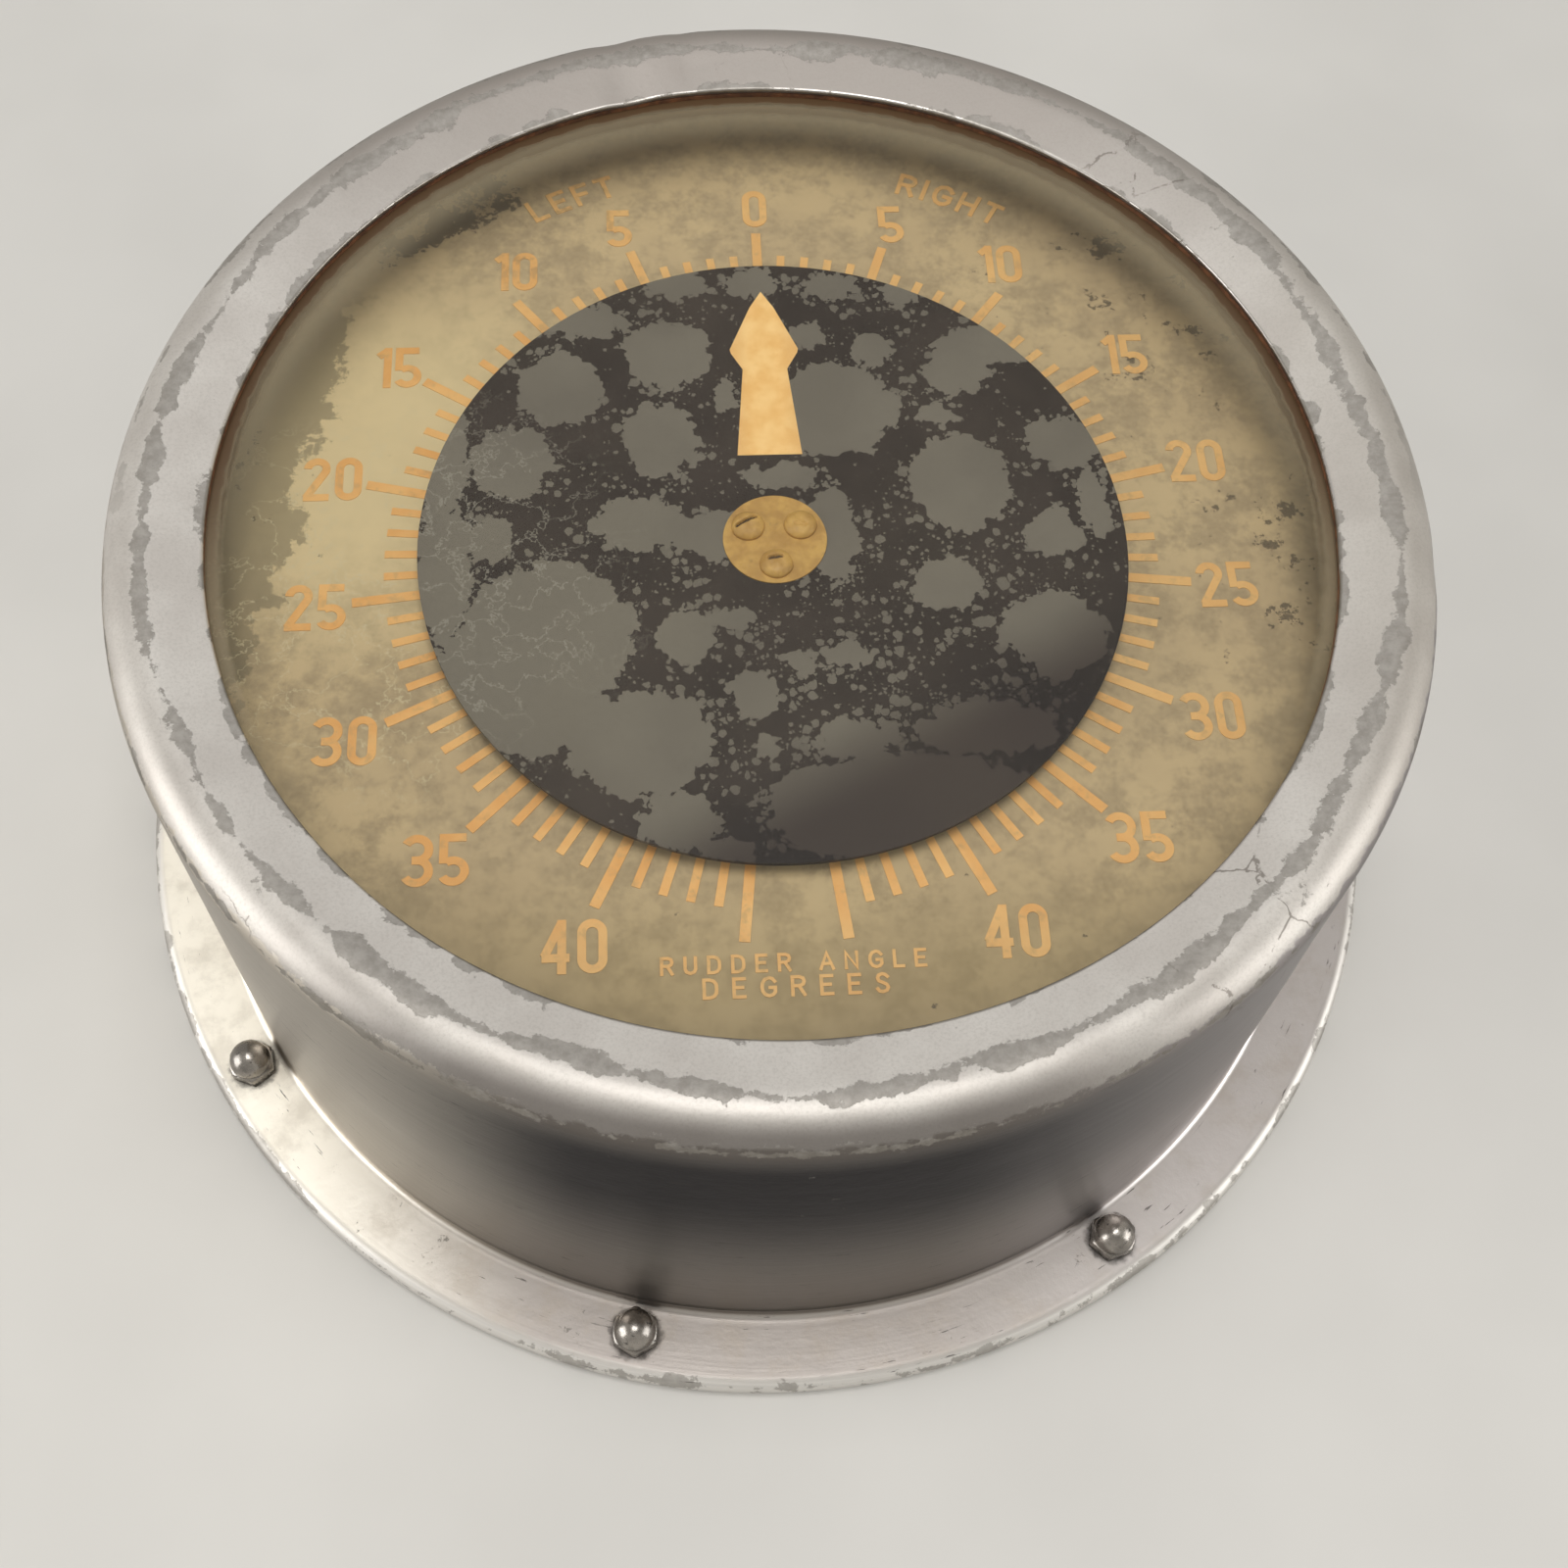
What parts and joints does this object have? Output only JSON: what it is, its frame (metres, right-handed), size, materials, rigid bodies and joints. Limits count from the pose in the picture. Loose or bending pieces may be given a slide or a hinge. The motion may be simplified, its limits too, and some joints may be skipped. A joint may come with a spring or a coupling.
{
  "type": "rudder angle indicator",
  "caption": "Round steering repeater in a spun metal flanged case, with a glazed dial scaled in degrees and a pointer disc on a self-synchronous receiver.",
  "frame": {"origin": "centre of the back face, which the case stands on", "axes": "+Z out of the dial, +Y towards the zero of the scale, +X towards the right-hand side of the scale"},
  "size_m": [0.3048, 0.3048, 0.127],
  "materials": {
    "case_paint": "worn aluminium paint",
    "nut_steel": "dulled plate",
    "steel": "machined",
    "black_rubber": "matt",
    "brown_rubber": "aged, brown",
    "plate_paint": "grey paint",
    "window_glass": "clear, scratched",
    "copper_plate": "tarnished",
    "dial_face": "mottled olive tan",
    "amber_mark": "faded amber",
    "alloy": "cast and turned",
    "white_paint": "white reflector paint",
    "brass": "turned",
    "bulb_glass": "clear bulb",
    "core_iron": "laminated iron",
    "copper": "varnished winding",
    "bearing_steel": "ground",
    "phenolic": "moulded brown",
    "carbon": "pressed carbon",
    "red_sleeve": "cloth sleeve",
    "green_sleeve": "cloth sleeve",
    "disc_black": "faded black with lifted patches",
    "arrow_amber": "pale amber",
    "carrier_gold": "tan lacquer"
  },
  "bodies": {
    "case": {"cover_shell": "case_paint", "cover_flange": "case_paint", "acorn_nuts": "nut_steel", "flange_studs": "steel", "base_gasket": "black_rubber", "back_plate": "plate_paint", "back_plate_screws": "steel", "cable_grommet": "black_rubber", "glass": "window_glass", "glass_gasket": "brown_rubber", "glass_retaining_ring": "copper_plate", "retaining_brackets": "plate_paint", "retaining_screws": "steel", "dial_plate": "dial_face", "dial_marks": "amber_mark", "dial_numerals": "amber_mark", "dial_screws": "steel", "dial_posts": "alloy", "lamp_deck": "white_paint", "deck_posts": "alloy", "deck_screws": "steel", "lamp_sockets": "brass", "lamps": "bulb_glass", "receiver_clamps": "alloy", "clamp_screws": "steel", "front_end_bell": "alloy", "rear_end_bell": "alloy", "stator_housing": "alloy", "stator_core": "core_iron", "stator_windings": "copper", "bearing_outer_races": "bearing_steel", "brush_block": "phenolic", "brushes": "carbon", "terminal_block": "phenolic", "terminal_screws": "brass", "receiver_leads": "red_sleeve", "lamp_leads": "green_sleeve"},
    "pointer": {"pointer_disc": "disc_black", "pointer_arrow": "arrow_amber", "pointer_carrier": "carrier_gold", "pointer_screws": "carrier_gold", "shaft_collar": "brass", "collar_set_screw": "steel", "rotor_shaft": "bearing_steel", "rotor_core": "core_iron", "rotor_winding": "copper", "inertia_damper": "brass", "slip_ring_sleeve": "phenolic", "slip_rings": "brass", "bearing_inner_races": "bearing_steel", "bearing_balls": "bearing_steel"}
  },
  "joints": [
    {"name": "pointer_turn", "type": "hinge", "parent": "case", "child": "pointer", "pos_m": [0, 0, 0.1], "axis": [0, 0, 1], "range_deg": [-173.5, 173.5]}
  ]
}
